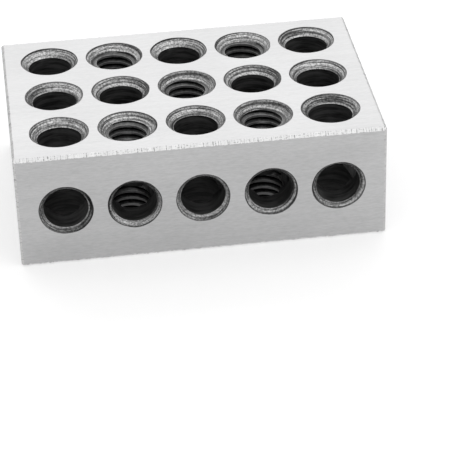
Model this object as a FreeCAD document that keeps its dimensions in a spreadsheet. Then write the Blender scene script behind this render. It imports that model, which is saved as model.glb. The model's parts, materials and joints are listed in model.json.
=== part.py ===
"""A ground steel setup block, 1 x 2 x 3 inches, with a grid of crossing holes.

Millimetres, +Z up. The length lies along X, the width along Y and the height along Z, and the origin is
the centre of the underside. The block is drawn centred on its own planes and then lifted by half its
height, so that every hole can be drilled from one face and mirrored on to the face opposite.
"""

import FreeCAD, Part
import os

import Sketcher

SIZES = {
    "block_length": 76.2,
    "block_width": 50.8,
    "block_height": 25.4,
    "edge_chamfer": 0.65,   # on all twelve edges, at 45 degrees
    "edge_margin": 10.0,    # from the outermost hole centres to the block's sides and ends
    "plain_bore": 9.2,
    "tap_drill": 7.94,      # the five tapped holes, as they are before the thread is cut
    "face_sink": 12.3,      # countersinks on the two large faces
    "side_sink": 11.2,      # countersinks on the long sides and the ends
    "sink_angle": 90.0,     # the full angle of every countersink
}

COLUMNS = 5  # holes along the length
ROWS = 3     # holes across the width

HALF_LENGTH = "Sizes.block_length / 2"
HALF_WIDTH = "Sizes.block_width / 2"
HALF_HEIGHT = "Sizes.block_height / 2"
REACH_ALONG = f"({HALF_LENGTH} - Sizes.edge_margin)"
REACH_ACROSS = f"({HALF_WIDTH} - Sizes.edge_margin)"


def make_sheet(doc):
    """The driving dimensions, one row each: a name, and a cell that the model reads by that name."""
    sheet = doc.addObject("Spreadsheet::Sheet", "Sizes")
    for row, (name, value) in enumerate(SIZES.items(), start=1):
        sheet.set(f"A{row}", name)
        sheet.set(f"B{row}", str(value))
        sheet.setAlias(f"B{row}", name)
    doc.recompute()


def origin_plane(body, role):
    """The body's own origin plane of that role."""
    return next(plane for plane in body.Origin.OriginFeatures if plane.Role == role)


def new_sketch(body, name, role, lift="0"):
    """A sketch parallel to an origin plane and lifted off it by a formula."""
    sketch = body.newObject("Sketcher::SketchObject", name)
    sketch.AttachmentSupport = [(origin_plane(body, role), "")]
    sketch.MapMode = "FlatFace"
    sketch.setExpression("AttachmentOffset.Base.z", lift)
    return sketch


def add_size(sketch, formula, *constraint):
    """A dimension of the sketch, bound to a formula of the sheet."""
    index = sketch.addConstraint(Sketcher.Constraint(*constraint))
    sketch.setExpression(f"Constraints[{index}]", formula)


def add_rectangle(sketch, across, up):
    """A rectangle centred on the sketch's origin."""
    corners = [FreeCAD.Vector(x, y, 0) for x, y in ((-1, -1), (1, -1), (1, 1), (-1, 1))]
    for start, end in zip(corners, corners[1:] + corners[:1]):
        sketch.addGeometry(Part.LineSegment(start, end))
    for side in range(4):
        sketch.addConstraint(Sketcher.Constraint("Coincident", side, 2, (side + 1) % 4, 1))
        sketch.addConstraint(Sketcher.Constraint("Vertical" if side % 2 else "Horizontal", side))
    sketch.addConstraint(Sketcher.Constraint("Symmetric", 0, 1, 2, 1, -1, 1))
    add_size(sketch, across, "DistanceX", 0, 1, 0, 2, 2.0)
    add_size(sketch, up, "DistanceY", 1, 1, 1, 2, 2.0)


def hold_centre(sketch, circle, way, share, reach):
    """Keep a circle's centre at its share of the reach, or on the axis where the share is nothing."""
    if share == 0:
        axis = -2 if way == "DistanceX" else -1
        sketch.addConstraint(Sketcher.Constraint("PointOnObject", circle, 3, axis))
    else:
        add_size(sketch, f"{reach} * {share}", way, -1, 1, circle, 3, share)


def add_holes(sketch, places, reach, bore):
    """One circle for each place, which is a pair of shares of the reach along X and along Y."""
    for place in places:
        centre = FreeCAD.Vector(*place, 0)
        circle = sketch.addGeometry(Part.Circle(centre, FreeCAD.Vector(0, 0, 1), 1))
        for way, share, length in zip(("DistanceX", "DistanceY"), place, reach):
            hold_centre(sketch, circle, way, share, length)
        add_size(sketch, bore, "Diameter", circle, 2.0)


def shares(count):
    """Even places along a line of holes, from -1 at one end to 1 at the other."""
    return [2 * index / (count - 1) - 1 for index in range(count)]


def face_places(tapped):
    """The tapped places of the face grid, or the plain ones.

    Inside the end columns every second hole is tapped, like the black fields of a chessboard.
    """
    places = []
    for column, along in enumerate(shares(COLUMNS)):
        for row, across in enumerate(shares(ROWS)):
            inner = 0 < column < COLUMNS - 1
            if tapped == (inner and (column + row) % 2 == 1):
                places.append((along, across))
    return places


def must_cut(feature, volume_before):
    """A cutting feature has to take metal away from what was there before it."""
    if not feature.Shape.Volume < volume_before:
        raise RuntimeError(f"{feature.Name} cuts nothing")


def drill(body, name, role, depth, places, reach, bore, sink):
    """Drill and countersink a set of holes from one face to the middle, then mirror them to the other."""
    doc = body.Document
    sketch = new_sketch(body, f"{name}_centres", role, depth)
    add_holes(sketch, places, reach, bore)
    doc.recompute()

    volume = body.Shape.Volume
    hole = body.newObject("PartDesign::Hole", f"{name}_holes")
    hole.Profile = sketch
    hole.ThreadType = "None"
    hole.DepthType = "Dimension"
    hole.DrillPoint = "Flat"
    hole.HoleCutType = "Countersink"
    hole.HoleCutCustomValues = True
    hole.setExpression("Depth", depth)
    hole.setExpression("Diameter", bore)
    hole.setExpression("HoleCutDiameter", sink)
    hole.setExpression("HoleCutCountersinkAngle", "Sizes.sink_angle")
    doc.recompute()
    must_cut(hole, volume)

    volume = body.Shape.Volume
    mirror = body.newObject("PartDesign::Mirrored", f"{name}_holes_far_side")
    mirror.Originals = [hole]
    mirror.MirrorPlane = (origin_plane(body, role), [""])
    body.Tip = mirror
    doc.recompute()
    must_cut(mirror, volume)


def make_bar(body):
    """The ground bar, with a small chamfer along each of its twelve edges."""
    outline = new_sketch(body, "bar_outline", "XY_Plane")
    add_rectangle(outline, "Sizes.block_length", "Sizes.block_width")

    bar = body.newObject("PartDesign::Pad", "bar")
    bar.Profile = outline
    bar.Midplane = True
    bar.setExpression("Length", "Sizes.block_height")
    body.Document.recompute()

    volume = body.Shape.Volume
    chamfer = body.newObject("PartDesign::Chamfer", "edge_chamfers")
    edges = [f"Edge{number}" for number in range(1, len(bar.Shape.Edges) + 1)]
    chamfer.Base = (bar, edges)
    chamfer.setExpression("Size", "Sizes.edge_chamfer")
    body.Document.recompute()
    must_cut(chamfer, volume)


def drill_faces(body):
    """The grid through the two large faces: plain holes, and holes drilled for a tap."""
    reach = (REACH_ALONG, REACH_ACROSS)
    for name, tapped, bore in (("plain", False, "Sizes.plain_bore"), ("tapped", True, "Sizes.tap_drill")):
        drill(body, name, "XY_Plane", HALF_HEIGHT, face_places(tapped), reach, bore, "Sizes.face_sink")


def drill_sides(body):
    """The holes between the long sides, each through the middle of one column of the grid."""
    places = [(along, 0.0) for along in shares(COLUMNS)]
    reach = (REACH_ALONG, HALF_HEIGHT)
    drill(body, "side", "XZ_Plane", HALF_WIDTH, places, reach, "Sizes.plain_bore", "Sizes.side_sink")


def drill_ends(body):
    """The holes from end to end, each through the middle of one row of the grid."""
    places = [(across, 0.0) for across in shares(ROWS)]
    reach = (REACH_ACROSS, HALF_HEIGHT)
    drill(body, "end", "YZ_Plane", HALF_LENGTH, places, reach, "Sizes.plain_bore", "Sizes.side_sink")


def make_block(doc):
    """The whole block, standing on the plane Z = 0."""
    body = doc.addObject("PartDesign::Body", "setup_block")
    body.Label = "setup_block"
    body.setExpression("Placement.Base.z", HALF_HEIGHT)
    make_bar(body)
    drill_faces(body)
    drill_sides(body)
    drill_ends(body)
    return body


def check_document(doc, subparts):
    """Stop before anything is written if an object failed or a sub-part has no sound solid."""
    for item in doc.Objects:
        if {"Invalid", "Error"} & set(item.State):
            raise RuntimeError(f"{item.Name} failed: {item.State}")
    for part in subparts:
        if part.Shape.isNull() or not part.Shape.isValid():
            raise RuntimeError(f"{part.Label} has no valid shape")


def main():
    doc = FreeCAD.newDocument("setup_block")
    make_sheet(doc)
    subparts = [make_block(doc)]
    doc.recompute()
    check_document(doc, subparts)
    os.makedirs("parts", exist_ok=True)
    for part in subparts:
        part.Shape.exportStep(f"parts/{part.Label}.step")


main()
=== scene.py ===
"""The look of a ground steel setup block: ground faces, hand-ground edges, turned countersinks, dark bores
and cut threads. Metres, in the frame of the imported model: +Z up, the origin under the middle of the block.
"""

import json
import math
import random

import bpy
from mathutils import Matrix, Vector


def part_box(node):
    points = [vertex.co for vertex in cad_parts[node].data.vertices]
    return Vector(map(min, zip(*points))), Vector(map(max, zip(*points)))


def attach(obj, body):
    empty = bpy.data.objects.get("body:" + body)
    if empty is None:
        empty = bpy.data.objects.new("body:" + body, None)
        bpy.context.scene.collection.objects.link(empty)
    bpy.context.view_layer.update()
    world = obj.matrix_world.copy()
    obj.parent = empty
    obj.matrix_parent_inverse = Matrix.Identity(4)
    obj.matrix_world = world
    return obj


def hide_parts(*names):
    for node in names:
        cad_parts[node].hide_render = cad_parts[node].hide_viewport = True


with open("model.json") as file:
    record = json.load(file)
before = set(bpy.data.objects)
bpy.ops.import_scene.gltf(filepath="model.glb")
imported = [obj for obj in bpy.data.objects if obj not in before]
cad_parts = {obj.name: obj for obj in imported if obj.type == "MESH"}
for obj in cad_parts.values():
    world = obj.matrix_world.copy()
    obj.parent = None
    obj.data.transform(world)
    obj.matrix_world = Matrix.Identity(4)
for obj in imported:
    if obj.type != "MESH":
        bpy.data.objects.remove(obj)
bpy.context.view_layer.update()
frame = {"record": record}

MM = 0.001

# ---- the block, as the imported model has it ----

NODE = "setup_block"
LOW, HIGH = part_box(NODE)
LENGTH, WIDTH, HEIGHT = HIGH - LOW
MIDDLE = (LOW + HIGH) / 2
MOUNTS = {mount["name"]: mount["dims"] for mount in frame["record"]["mounts"]}

COLUMNS = 5
ROWS = 3
COLUMN_PITCH = MOUNTS["plain_corner_holes"]["spacing_x_mm"] * MM / (COLUMNS - 1)
ROW_PITCH = MOUNTS["plain_corner_holes"]["spacing_y_mm"] * MM / (ROWS - 1)
PLAIN_RADIUS = MOUNTS["plain_corner_holes"]["hole_r_mm"] * MM
TAP_RADIUS = MOUNTS["tapped_corner_holes"]["hole_r_mm"] * MM
FACE_SINK_RADIUS = 6.15 * MM
SIDE_SINK_RADIUS = 5.6 * MM
LONG_CHAMFER = 0.65 * MM
SHORT_CHAMFER = 0.52 * MM

# ---- the thread, sixteen turns to the inch ----

THREAD_PITCH = 25.4 * MM / 16
THREAD_ROOT_RADIUS = 9.525 * MM / 2
THREAD_ROOT_FLAT = THREAD_PITCH / 8
THREAD_SLOPE = math.tan(math.radians(30))
THREAD_STEPS = 60

# where the first crest lies below the top face, on the wall away from the front, hole by hole
THREAD_STARTS = {
    (1, 0): 2.3 * MM,
    (3, 0): 2.65 * MM,
    (2, 1): 2.68 * MM,
    (1, 2): 2.08 * MM,
    (3, 2): 1.92 * MM,
}

# ---- how the cutting tools are drawn ----

TOOL_PAST = 1.5 * MM      # bores and threads run this far past a face
SINK_PAST = 0.25 * MM     # countersinks run this far past it
SINK_UNDER = 0.35 * MM    # and this far inside the bore
BORE_SIDES = 96
BORE_SPANS = 6
SINK_SIDES = 72
SINK_RINGS = 12
RING_RELIEF = 0.07 * MM   # how uneven the turned rings are
TAP_LEDGE = 4.62 * MM     # the countersinks of the tapped holes stop at this radius, in a narrow ledge

GRIND_STEP = 0.38 * MM    # the length of one touch of the wheel along an edge
GRIND_UNEVEN = 0.07 * MM  # how much wider or narrower one touch may be than it should
GRIND_MARGIN = 0.5 * MM   # the wedges stand this far clear of the steel
EDGE_RUN_GAP = 0.2        # keeps the marks of one edge apart from the next, for each face made so far

SOCKETS = {
    "length": "NodeSocketFloat",
    "vector": "NodeSocketVector",
    "material": "NodeSocketMaterial",
}


# ---------------------------------------------------------------- node helpers

def add_node(tree, kind, values=None, **settings):
    """One node; values are its sockets by name or number, each a plain value or another node's output."""
    node = tree.nodes.new(kind)
    for name, value in settings.items():
        setattr(node, name, value)
    for name, value in (values or {}).items():
        socket = node.inputs[name]
        if isinstance(value, bpy.types.NodeSocket):
            tree.links.new(value, socket)
        else:
            socket.default_value = value
    return node


def number(tree, operation, first, second=0.0, third=0.0):
    """The output of one sum."""
    return add_node(tree, "ShaderNodeMath", {0: first, 1: second, 2: third}, operation=operation).outputs[0]


def combine(tree, x=0.0, y=0.0, z=0.0):
    """A vector of three numbers."""
    return add_node(tree, "ShaderNodeCombineXYZ", {"X": x, "Y": y, "Z": z}).outputs[0]


def flat_length(tree, parts):
    """How far a place is from the axis, from its separate parts."""
    return number(tree, "SQRT", number(
        tree, "ADD", number(tree, "POWER", parts[0], 2.0), number(tree, "POWER", parts[1], 2.0)))


# ---------------------------------------------------------------- finishes

def new_finish(name):
    """An empty material. Returns (material, tree, shader)."""
    material = bpy.data.materials.new(name)
    material.use_nodes = True
    tree = material.node_tree
    shader = tree.nodes["Principled BSDF"]
    return material, tree, shader


def object_place(tree, scale):
    """Object coordinates stretched by a scale, in turns per metre."""
    place = add_node(tree, "ShaderNodeTexCoord").outputs["Object"]
    return add_node(tree, "ShaderNodeMapping", {"Vector": place, "Scale": scale}).outputs[0]


def noise(tree, place, detail=2.0, roughness=0.5):
    """Smooth noise, near 0.5 on the whole."""
    values = {"Vector": place, "Scale": 1.0, "Detail": detail, "Roughness": roughness}
    return add_node(tree, "ShaderNodeTexNoise", values).outputs[0]


def spread(tree, value, low, high, from_low=0.3, from_high=0.7):
    """A value carried from one range to another, and held there."""
    values = {"Value": value, "From Min": from_low, "From Max": from_high, "To Min": low, "To Max": high}
    return add_node(tree, "ShaderNodeMapRange", values).outputs[0]


def grey(tree, value, tint=(1.0, 1.0, 1.0)):
    """A colour of one strength."""
    channels = zip(("Red", "Green", "Blue"), tint)
    parts = {name: number(tree, "MULTIPLY", value, part) for name, part in channels}
    return add_node(tree, "ShaderNodeCombineColor", parts).outputs[0]


def bump(tree, shader, height, distance, strength=1.0):
    """The shader's normal from a height, where the distance is the height of one whole step."""
    node = add_node(tree, "ShaderNodeBump", {"Height": height, "Distance": distance, "Strength": strength})
    tree.links.new(node.outputs[0], shader.inputs["Normal"])


def ground_steel(name, across, along):
    """Steel off the surface grinder. The wheel's fine lines run along one axis."""
    material, tree, shader = new_finish(name)
    shader.inputs["Metallic"].default_value = 1.0
    fine = noise(tree, object_place(tree, [4500 * a + 700 * b for a, b in zip(across, along)]), 3.0, 0.7)
    coarse = noise(tree, object_place(tree, [900 * a + 8 * b for a, b in zip(across, along)]), 2.0, 0.5)
    film = noise(tree, object_place(tree, (45, 45, 90)), 2.0, 0.5)
    tone = number(tree, "ADD", spread(tree, fine, 0.42, 0.52), spread(tree, coarse, -0.012, 0.012))
    tone = number(tree, "ADD", tone, spread(tree, film, -0.02, 0.015))
    tree.links.new(grey(tree, tone, (1.0, 1.0, 1.005)), shader.inputs["Base Color"])
    tree.links.new(spread(tree, fine, 0.32, 0.46), shader.inputs["Roughness"])
    bump(tree, shader, number(tree, "ADD", fine, coarse), 0.0015 * MM)
    return material


def edge_grind(name, dark, bright):
    """Steel where the edges were touched off by hand, with the wheel's marks across the edge."""
    material, tree, shader = new_finish(name)
    shader.inputs["Metallic"].default_value = 1.0
    run = add_node(tree, "ShaderNodeAttribute", attribute_name="edge_run").outputs["Fac"]
    marks = noise(tree, combine(tree, number(tree, "MULTIPLY", run, 3600.0)), 2.0, 0.6)
    place = add_node(tree, "ShaderNodeSeparateXYZ", {0: object_place(tree, (1, 1, 1))}).outputs
    across = number(tree, "MULTIPLY", number(tree, "ADD", place[1], place[2]), 2400.0)
    patch = noise(tree, combine(tree, number(tree, "MULTIPLY", run, 1500.0), across), 2.0, 0.6)
    worn = number(tree, "MINIMUM", number(tree, "ADD", marks, spread(tree, patch, -0.08, 0.16)), 1.0)
    tree.links.new(grey(tree, spread(tree, worn, dark, bright, 0.36, 0.52)), shader.inputs["Base Color"])
    tree.links.new(spread(tree, marks, 0.42, 0.30), shader.inputs["Roughness"])
    bump(tree, shader, marks, 0.02 * MM)
    return material


def place_in_hole(tree):
    """The three parts of a place within its hole, with the hole's axis along the third."""
    place = add_node(tree, "ShaderNodeAttribute", attribute_name="hole_place").outputs["Vector"]
    return add_node(tree, "ShaderNodeSeparateXYZ", {0: place}).outputs


def stretched(tree, parts, first, second, third):
    """A place within the hole, stretched along its three parts, in turns per metre."""
    scales = (first, second, third)
    return combine(tree, *[number(tree, "MULTIPLY", part, scale) for part, scale in zip(parts, scales)])


def turned_steel(name, rim, dark, bright):
    """A countersink: duller steel with the cutter's rings, some chatter and a dark line inside the rim."""
    material, tree, shader = new_finish(name)
    shader.inputs["Metallic"].default_value = 1.0
    parts = place_in_hole(tree)
    radius = flat_length(tree, parts)
    spin = add_node(tree, "ShaderNodeAttribute", attribute_name="spin").outputs["Fac"]
    ring = noise(tree, combine(
        tree, number(tree, "MULTIPLY", radius, 3200.0), number(tree, "MULTIPLY_ADD", parts[0], 60.0, spin),
        number(tree, "MULTIPLY", parts[1], 60.0)), 3.0, 0.75)
    chatter = noise(tree, combine(
        tree, number(tree, "MULTIPLY", parts[0], 2400.0), number(tree, "MULTIPLY", parts[1], 2400.0),
        number(tree, "MULTIPLY_ADD", radius, 3000.0, spin)), 3.0, 0.7)
    rim_line = spread(tree, radius, 1.0, 0.4, rim - 0.32 * MM, rim - 0.14 * MM)
    tone = number(tree, "MULTIPLY", spread(tree, ring, dark, bright, 0.41, 0.59), rim_line)
    tone = number(tree, "MULTIPLY", tone, spread(tree, chatter, 0.45, 1.35, 0.40, 0.60))
    tree.links.new(grey(tree, tone), shader.inputs["Base Color"])
    tree.links.new(spread(tree, chatter, 0.30, 0.5), shader.inputs["Roughness"])
    bump(tree, shader, number(tree, "MULTIPLY_ADD", chatter, 0.4, ring), 0.06 * MM)
    return material


def black_bore():
    """Hardening scale left in the bores, near black, with the drill's faint marks round the wall."""
    material, tree, shader = new_finish("scaled_bore")
    shader.inputs["Metallic"].default_value = 0.4
    shader.inputs["Specular IOR Level"].default_value = 0.35
    drawn = noise(tree, stretched(tree, place_in_hole(tree), 150.0, 150.0, 1200.0), 3.0, 0.65)
    tree.links.new(grey(tree, spread(tree, drawn, 0.015, 0.075, 0.38, 0.62)), shader.inputs["Base Color"])
    tree.links.new(spread(tree, drawn, 0.45, 0.65), shader.inputs["Roughness"])
    bump(tree, shader, drawn, 0.01 * MM)
    return material


def cut_thread():
    """Tapped thread: grey on the flanks, with painted shade darkening the colour into the root and a painted
    highlight brightening it on the crests.
    """
    material, tree, shader = new_finish("cut_thread")
    shader.inputs["Metallic"].default_value = 0.7
    parts = place_in_hole(tree)
    radius = flat_length(tree, parts)
    # painted highlight: the colour is brightened on the crests, near the bore's radius
    painted_crest_highlight = spread(tree, radius, 1.0, 0.0, TAP_RADIUS + 0.02 * MM, TAP_RADIUS + 0.12 * MM)
    # painted shade: the colour is darkened out towards the root of the thread
    root = spread(tree, radius, 1.0, 0.05, TAP_RADIUS + 0.4 * MM, THREAD_ROOT_RADIUS - 0.12 * MM)
    torn = noise(tree, stretched(tree, parts, 1500.0, 1500.0, 900.0), 3.0, 0.6)
    tone = number(tree, "MULTIPLY", spread(tree, torn, 0.05, 0.15), root)
    tone = number(tree, "MULTIPLY_ADD", painted_crest_highlight, 0.17, tone)
    tree.links.new(grey(tree, tone), shader.inputs["Base Color"])
    tree.links.new(spread(tree, torn, 0.28, 0.45), shader.inputs["Roughness"])
    bump(tree, shader, torn, 0.01 * MM)
    return material


# ---------------------------------------------------------------- meshes

def new_piece(name, mesh):
    """An object in the scene."""
    piece = bpy.data.objects.new(name, mesh)
    bpy.context.scene.collection.objects.link(piece)
    return piece


def plain_mesh(piece):
    """The mesh of a piece with its modifiers worked in."""
    graph = bpy.context.evaluated_depsgraph_get()
    return bpy.data.meshes.new_from_object(piece.evaluated_get(graph), depsgraph=graph)


def cut_away(block, tools):
    """Cuts the tools out of the block and throws them away. A face keeps its tool's finish."""
    modifier = block.modifiers.new("cut", "BOOLEAN")
    modifier.operation = "DIFFERENCE"
    modifier.solver = "MANIFOLD"
    modifier.material_mode = "TRANSFER"
    modifier.object = tools
    mesh = plain_mesh(block)
    block.modifiers.clear()
    block.data = mesh
    bpy.data.objects.remove(tools)


def make_bar(face_finish, end_finish):
    """The ground bar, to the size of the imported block."""
    corners = [(x, y, z) for x in (LOW.x, HIGH.x) for y in (LOW.y, HIGH.y) for z in (LOW.z, HIGH.z)]
    faces = [(0, 1, 3, 2), (4, 6, 7, 5), (0, 4, 5, 1), (2, 3, 7, 6), (0, 2, 6, 4), (1, 5, 7, 3)]
    mesh = bpy.data.meshes.new(NODE)
    mesh.from_pydata(corners, [], faces)
    mesh.materials.append(face_finish)
    mesh.materials.append(end_finish)
    for face in mesh.polygons:
        face.material_index = 1 if abs(face.normal.x) > 0.5 else 0
    return new_piece("block", mesh)


def grind_stations(length, width, chance):
    """Places along an edge, each with the width that the wheel took off each face there."""
    count = round(length / GRIND_STEP)
    stations = []
    for step in range(-3, count + 4):
        place = (step + chance.uniform(-0.35, 0.35)) * length / count - length / 2
        widths = [width + chance.uniform(-1, 1) * GRIND_UNEVEN for _ in range(2)]
        stations.append((place, *widths))
    return stations


def make_edge_tools(axis, width, finish, chance):
    """Four uneven wedges that take the sharp corner off the four edges along one axis."""
    half = (HIGH - LOW) / 2
    across, up = [other for other in range(3) if other != axis]
    corners = []
    faces = []
    runs = []
    for side in (-1, 1):
        for level in (-1, 1):
            first = len(corners)
            stations = grind_stations(2 * half[axis], width, chance)
            for place, width_a, width_b in stations:
                edge = (side * half[across], level * half[up])
                on_up = Vector((edge[0] - side * width_a, edge[1]))
                on_side = Vector((edge[0], edge[1] - level * width_b))
                reach = (on_up - on_side).normalized() * GRIND_MARGIN
                outside = Vector((edge[0] + side * 2 * GRIND_MARGIN, edge[1] + level * 2 * GRIND_MARGIN))
                section = (on_up + reach, on_side - reach, outside)
                for point in section:
                    corner = [0.0, 0.0, 0.0]
                    corner[axis] = place
                    corner[across] = point[0]
                    corner[up] = point[1]
                    corners.append(Vector(corner) + MIDDLE)
                    runs.append(place + EDGE_RUN_GAP * len(faces))
            last = len(stations) - 1
            turn_in = side * level * (1 if axis != 1 else -1) < 0
            sections = [(first + 3 * s, first + 3 * s + 1, first + 3 * s + 2) for s in range(last + 1)]
            loops = []
            for here, there in zip(sections, sections[1:]):
                for a, b in ((0, 1), (1, 2), (2, 0)):
                    loops.append((here[a], here[b], there[b], there[a]))
            loops.append(tuple(reversed(sections[0])))
            loops.append(sections[-1])
            faces += [tuple(reversed(loop)) if turn_in else loop for loop in loops]
    mesh = bpy.data.meshes.new("edge_wedges")
    mesh.from_pydata(corners, [], faces)
    run = mesh.attributes.new("edge_run", "FLOAT", "CORNER")
    run.data.foreach_set("value", [runs[loop.vertex_index] for loop in mesh.loops])
    mesh.materials.append(finish)
    return new_piece("edge_wedges", mesh)


# ---------------------------------------------------------------- hole tools by Geometry Nodes

def new_geometry_tree(name, inputs):
    """A geometry tree with one geometry in and out, and the named inputs. Returns (tree, inputs, output)."""
    tree = bpy.data.node_groups.new(name, "GeometryNodeTree")
    tree.interface.new_socket("Geometry", in_out="INPUT", socket_type="NodeSocketGeometry")
    for title, kind in inputs.items():
        tree.interface.new_socket(title, in_out="INPUT", socket_type=SOCKETS[kind])
    tree.interface.new_socket("Geometry", in_out="OUTPUT", socket_type="NodeSocketGeometry")
    return tree, tree.nodes.new("NodeGroupInput").outputs, tree.nodes.new("NodeGroupOutput").inputs[0]


def with_finish(tree, geometry, finish, selection=True):
    """The geometry with one material, all over or where it is selected."""
    return add_node(tree, "GeometryNodeSetMaterial", {
        "Geometry": geometry, "Selection": selection, "Material": finish}).outputs[0]


def slanted(tree):
    """True on the faces at 45 degrees to the hole's axis, which are the countersinks' cones."""
    direction = add_node(tree, "GeometryNodeInputNormal").outputs[0]
    axis = add_node(tree, "ShaderNodeSeparateXYZ", {0: direction}).outputs[2]
    return number(tree, "COMPARE", number(tree, "ABSOLUTE", axis), 0.7, 0.08)


def sink_cone(tree, inputs):
    """The cone of one countersink, 45 degrees down from the face at half the thickness."""
    top = number(tree, "ADD", inputs["Sink Radius"], SINK_PAST)
    bottom = inputs["Sink Bottom"]
    depth = number(tree, "SUBTRACT", top, bottom)
    cone = add_node(tree, "GeometryNodeMeshCone", {
        "Vertices": SINK_SIDES, "Side Segments": SINK_RINGS,
        "Radius Top": top, "Radius Bottom": bottom, "Depth": depth})
    face = number(tree, "MULTIPLY", inputs["Thickness"], 0.5)
    height = number(tree, "SUBTRACT", number(tree, "ADD", face, SINK_PAST), depth)
    lift = combine(tree, z=height)
    return add_node(tree, "GeometryNodeTransform", {
        "Geometry": cone.outputs["Mesh"], "Translation": lift}).outputs[0]


def bore_rod(tree, inputs):
    """The plain cylinder of the bore."""
    depth = number(tree, "ADD", inputs["Thickness"], 2 * TOOL_PAST)
    return add_node(tree, "GeometryNodeMeshCylinder", {
        "Vertices": BORE_SIDES, "Side Segments": BORE_SPANS,
        "Radius": inputs["Bore Radius"], "Depth": depth}).outputs["Mesh"]


def thread_ridge(tree, inputs):
    """A sharp-edged ridge wound right-handed round the bore's cylinder."""
    rise = number(tree, "ADD", inputs["Thickness"], TOOL_PAST)
    turns = number(tree, "DIVIDE", rise, THREAD_PITCH)
    line = add_node(tree, "GeometryNodeCurveSpiral", {
        "Resolution": THREAD_STEPS, "Rotations": turns, "Start Radius": THREAD_ROOT_RADIUS,
        "End Radius": THREAD_ROOT_RADIUS, "Height": rise, "Reverse": True})
    drop = combine(tree, z=number(tree, "MULTIPLY", rise, -0.5))
    line = add_node(tree, "GeometryNodeTransform", {"Geometry": line.outputs[0], "Translation": drop})
    line = add_node(tree, "GeometryNodeSetCurveNormal", {"Curve": line.outputs[0]}, mode="Z_UP")
    depth = THREAD_ROOT_RADIUS - TAP_RADIUS + 0.12 * MM
    outer = THREAD_ROOT_FLAT / 2
    inner = outer + depth * THREAD_SLOPE
    profile = add_node(tree, "GeometryNodeCurvePrimitiveQuadrilateral", {
        "Point 1": (0, -outer, 0), "Point 2": (0, outer, 0),
        "Point 3": (-depth, inner, 0), "Point 4": (-depth, -inner, 0)}, mode="POINTS")
    return add_node(tree, "GeometryNodeCurveToMesh", {
        "Curve": line.outputs[0], "Profile Curve": profile.outputs[0], "Fill Caps": True}).outputs[0]


def named_value(tree, name, kind="FLOAT"):
    """The output of a stored attribute."""
    return add_node(tree, "GeometryNodeInputNamedAttribute", {"Name": name}, data_type=kind).outputs[0]


def stored(tree, geometry, name, value, kind, domain):
    """The geometry with one attribute stored on it."""
    return add_node(tree, "GeometryNodeStoreNamedAttribute", {
        "Geometry": geometry, "Name": name, "Value": value}, data_type=kind, domain=domain).outputs[0]


def uneven_rings(tree, geometry):
    """The countersinks' cones with each turned ring a little in or out, and a little out of round."""
    place = named_value(tree, "hole_place", "FLOAT_VECTOR")
    parts = add_node(tree, "ShaderNodeSeparateXYZ", {0: place}).outputs
    down = number(tree, "MULTIPLY", parts[2], 700.0)
    sample = combine(
        tree, number(tree, "MULTIPLY", parts[0], 250.0), number(tree, "MULTIPLY", parts[1], 250.0),
        number(tree, "MULTIPLY_ADD", flat_length(tree, parts), 1900.0, down))
    uneven = add_node(tree, "ShaderNodeTexNoise", {
        "Vector": sample, "W": named_value(tree, "spin"), "Scale": 1.0, "Detail": 1.0},
        noise_dimensions="4D").outputs[0]
    push = number(tree, "MULTIPLY", number(tree, "SUBTRACT", uneven, 0.5), 4 * RING_RELIEF)
    direction = add_node(tree, "GeometryNodeInputNormal").outputs[0]
    offset = add_node(
        tree, "ShaderNodeVectorMath", {0: direction, "Scale": push}, operation="SCALE").outputs[0]
    return add_node(tree, "GeometryNodeSetPosition", {
        "Geometry": geometry, "Selection": slanted(tree), "Offset": offset}).outputs[0]


def make_hole_tree(name, threaded):
    """The tools that cut a set of like holes, one at each point, each spun about its own axis."""
    tree, inputs, output = new_geometry_tree(name, {
        "Bore Radius": "length", "Sink Radius": "length", "Sink Bottom": "length", "Thickness": "length",
        "Turn": "vector", "Middle": "vector", "Bore Finish": "material", "Sink Finish": "material"})
    cone = sink_cone(tree, inputs)
    other_cone = add_node(tree, "GeometryNodeTransform", {
        "Geometry": cone, "Rotation": (math.pi, 0, 0)}).outputs[0]
    parts = [bore_rod(tree, inputs), cone, other_cone]
    if threaded:
        parts.append(thread_ridge(tree, inputs))
    union = add_node(tree, "GeometryNodeMeshBoolean", operation="UNION", solver="MANIFOLD")
    for part in parts:
        tree.links.new(part, union.inputs["Mesh 2"])
    tool = stored(tree, union.outputs[0], "cone_face", slanted(tree), "BOOLEAN", "FACE")
    place = add_node(tree, "GeometryNodeInputPosition").outputs[0]
    tool = stored(tree, tool, "hole_place", place, "FLOAT_VECTOR", "CORNER")
    spin = combine(tree, z=named_value(tree, "spin"))
    spun = add_node(tree, "FunctionNodeEulerToRotation", {0: spin}).outputs[0]
    tools = add_node(tree, "GeometryNodeInstanceOnPoints", {
        "Points": inputs["Geometry"], "Instance": tool, "Rotation": spun}).outputs[0]
    tools = add_node(tree, "GeometryNodeRealizeInstances", {0: tools}).outputs[0]
    tools = uneven_rings(tree, tools)
    turn = add_node(tree, "FunctionNodeEulerToRotation", {0: inputs["Turn"]}).outputs[0]
    tools = add_node(tree, "GeometryNodeTransform", {
        "Geometry": tools, "Translation": inputs["Middle"], "Rotation": turn}).outputs[0]
    tools = with_finish(tree, tools, inputs["Bore Finish"])
    tools = with_finish(tree, tools, inputs["Sink Finish"], named_value(tree, "cone_face", "BOOLEAN"))
    tree.links.new(tools, output)
    return tree


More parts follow.
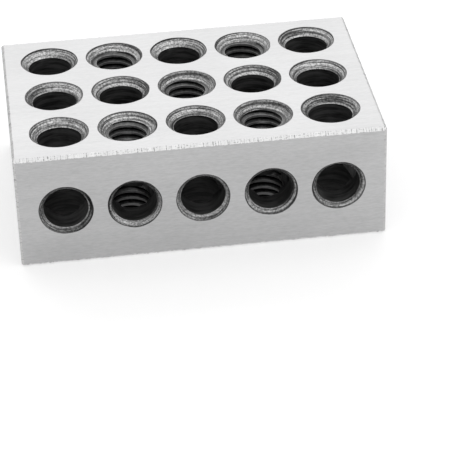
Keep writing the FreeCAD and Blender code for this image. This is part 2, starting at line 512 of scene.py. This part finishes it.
def hole_tools(tree, holes, values):
    """The tools for some holes, as one plain mesh. holes are (place along, place across, spin)."""
    mesh = bpy.data.meshes.new("hole_tools")
    mesh.from_pydata([(u, v, 0.0) for u, v, spin in holes], [], [])
    spins = mesh.attributes.new("spin", "FLOAT", "POINT")
    spins.data.foreach_set("value", [spin for u, v, spin in holes])
    tools = new_piece("hole_tools", mesh)
    modifier = tools.modifiers.new("tools", "NODES")
    modifier.node_group = tree
    for item in tree.interface.items_tree:
        if item.in_out == "INPUT" and item.name in values:
            modifier[item.identifier] = values[item.name]
    tools.data = plain_mesh(tools)
    tools.modifiers.clear()
    return tools


def thread_spin(start):
    """The turn of a thread tool that puts a crest that far below the face, on the back wall of its hole."""
    rise = HEIGHT + TOOL_PAST
    turns = (HEIGHT / 2 + rise / 2 - start) / THREAD_PITCH - 0.5
    return math.pi / 2 - 2 * math.pi * turns


def is_tapped(column, row):
    """True for the five holes that carry a thread, which stand as the five spots on a die."""
    return 0 < column < COLUMNS - 1 and (column + row) % 2 == 1


def make_block():
    """The block with its edges broken and its holes cut."""
    chance = random.Random(23)
    face_finish = ground_steel("ground_face", (0, 1, 1), (1, 0, 0))
    end_finish = ground_steel("ground_end", (1, 0, 1), (0, 1, 0))
    long_edge_finish = edge_grind("hand_ground_long_edge", 0.26, 0.74)
    short_edge_finish = edge_grind("hand_ground_short_edge", 0.24, 0.52)
    face_sink_finish = turned_steel("turned_face_countersink", FACE_SINK_RADIUS, 0.07, 0.54)
    side_sink_finish = turned_steel("turned_side_countersink", SIDE_SINK_RADIUS, 0.05, 0.40)
    bore_finish = black_bore()
    thread_finish = cut_thread()
    block = make_bar(face_finish, end_finish)
    cut_away(block, make_edge_tools(0, LONG_CHAMFER, long_edge_finish, chance))
    cut_away(block, make_edge_tools(1, SHORT_CHAMFER, short_edge_finish, chance))
    cut_away(block, make_edge_tools(2, SHORT_CHAMFER, short_edge_finish, chance))

    plain = make_hole_tree("plain_hole_tools", False)
    tapped = make_hole_tree("tapped_hole_tools", True)
    plain_holes = []
    tapped_holes = []
    for column in range(COLUMNS):
        for row in range(ROWS):
            place = ((column - 2) * COLUMN_PITCH, (row - 1) * ROW_PITCH)
            if is_tapped(column, row):
                tapped_holes.append((*place, thread_spin(THREAD_STARTS[column, row])))
            else:
                plain_holes.append((*place, chance.uniform(0, 6)))
    side_holes = [((column - 2) * COLUMN_PITCH, 0.0, chance.uniform(0, 6)) for column in range(COLUMNS)]
    end_holes = [(0.0, (row - 1) * ROW_PITCH, chance.uniform(0, 6)) for row in range(ROWS)]
    face_sink = (FACE_SINK_RADIUS, face_sink_finish)
    side_sink = (SIDE_SINK_RADIUS, side_sink_finish)
    upright = (0, 0, 0)
    front_to_back = (math.pi / 2, 0, 0)
    end_to_end = (0, math.pi / 2, 0)
    families = (
        (plain, plain_holes, PLAIN_RADIUS, bore_finish, face_sink, HEIGHT, upright),
        (plain, side_holes, PLAIN_RADIUS, bore_finish, side_sink, WIDTH, front_to_back),
        (plain, end_holes, PLAIN_RADIUS, bore_finish, side_sink, LENGTH, end_to_end),
        (tapped, tapped_holes, TAP_RADIUS, thread_finish, face_sink, HEIGHT, upright),
    )
    for tree, holes, bore, inside, (sink, cone), thickness, turn in families:
        cut_away(block, hole_tools(tree, holes, {
            "Bore Radius": bore, "Sink Radius": sink, "Thickness": thickness, "Turn": turn,
            "Sink Bottom": TAP_LEDGE if tree == tapped else bore - SINK_UNDER,
            "Middle": tuple(MIDDLE), "Bore Finish": inside, "Sink Finish": cone}))

    mesh = block.data
    for face in mesh.polygons:
        face.use_smooth = mesh.materials[face.material_index] not in (long_edge_finish, short_edge_finish)
    mesh.set_sharp_from_angle(angle=math.radians(24))
    return block


# ---------------------------------------------------------------- stage

def shows_background(tree):
    """1 for the camera and for what metal or glass mirrors, and 0 for the light that falls on the block."""
    rays = add_node(tree, "ShaderNodeLightPath").outputs
    mirrored = number(tree, "MAXIMUM", rays["Is Glossy Ray"], rays["Is Transmission Ray"])
    return number(tree, "MAXIMUM", mirrored, rays["Is Camera Ray"])


def make_floor():
    """A plain pale floor, seen as white and keeping the block's shadow."""
    material, tree, shader = new_finish("pale_floor")
    shader.inputs["Base Color"].default_value = (0.74, 0.74, 0.74, 1)
    shader.inputs["Roughness"].default_value = 0.9
    shader.inputs["Specular IOR Level"].default_value = 0.1
    shader.inputs["Emission Color"].default_value = (1, 1, 1, 1)
    tree.links.new(number(tree, "MULTIPLY", shows_background(tree), 0.36), shader.inputs["Emission Strength"])
    reach = 3.0
    corners = [(-reach, -reach, 0), (reach, -reach, 0), (reach, reach, 0), (-reach, reach, 0)]
    mesh = bpy.data.meshes.new("floor")
    mesh.from_pydata(corners, [], [(0, 1, 2, 3)])
    mesh.materials.append(material)
    new_piece("floor", mesh)


def make_lamp(name, place, target, size, power):
    """A large soft lamp, aimed at a place."""
    lamp = bpy.data.lights.new(name, "AREA")
    lamp.shape = "RECTANGLE"
    lamp.size = size[0]
    lamp.size_y = size[1]
    lamp.energy = power
    piece = bpy.data.objects.new(name, lamp)
    piece.location = place
    piece.rotation_euler = (Vector(target) - Vector(place)).to_track_quat("-Z", "Y").to_euler()
    bpy.context.scene.collection.objects.link(piece)


def make_world():
    """Even soft light, and white wherever the camera or a reflection looks past the floor."""
    world = bpy.data.worlds.new("studio")
    world.use_nodes = True
    bpy.context.scene.world = world
    tree = world.node_tree
    background = tree.nodes["Background"]
    background.inputs["Color"].default_value = (1, 1, 1, 1)
    light = number(tree, "MULTIPLY_ADD", shows_background(tree), 0.2, 0.8)
    tree.links.new(light, background.inputs["Strength"])


def make_camera():
    """The camera, in front of the block and above it."""
    lens = bpy.data.cameras.new("camera")
    lens.lens = 160.9
    lens.sensor_width = 36
    lens.clip_start = 0.01
    lens.clip_end = 20
    camera = bpy.data.objects.new("camera", lens)
    bpy.context.scene.collection.objects.link(camera)
    turn = Matrix.Rotation(math.radians(-6.95), 4, "Z")
    tilt = Matrix.Rotation(math.radians(90 - 32.89), 4, "X")
    roll = Matrix.Rotation(math.radians(-1.61), 4, "Z")
    camera.matrix_world = Matrix.Translation((-0.03799, -0.38852, 0.2395)) @ turn @ tilt @ roll
    bpy.context.scene.camera = camera


block = make_block()
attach(block, "root")
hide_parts(NODE)

make_floor()
make_world()
make_lamp("overhead", (0.1, 0.0, 1.0), (0, 0, 0), (0.9, 0.7), 1.0)
make_lamp("behind", (0.0, 1.1, 0.75), (0, 0, 0), (1.6, 0.8), 4.1)
make_lamp("right", (0.4, -0.3, 0.25), (0.07, -0.08, 0), (0.4, 0.4), 0.35)
make_camera()

scene = bpy.context.scene
scene.view_settings.view_transform = "Standard"
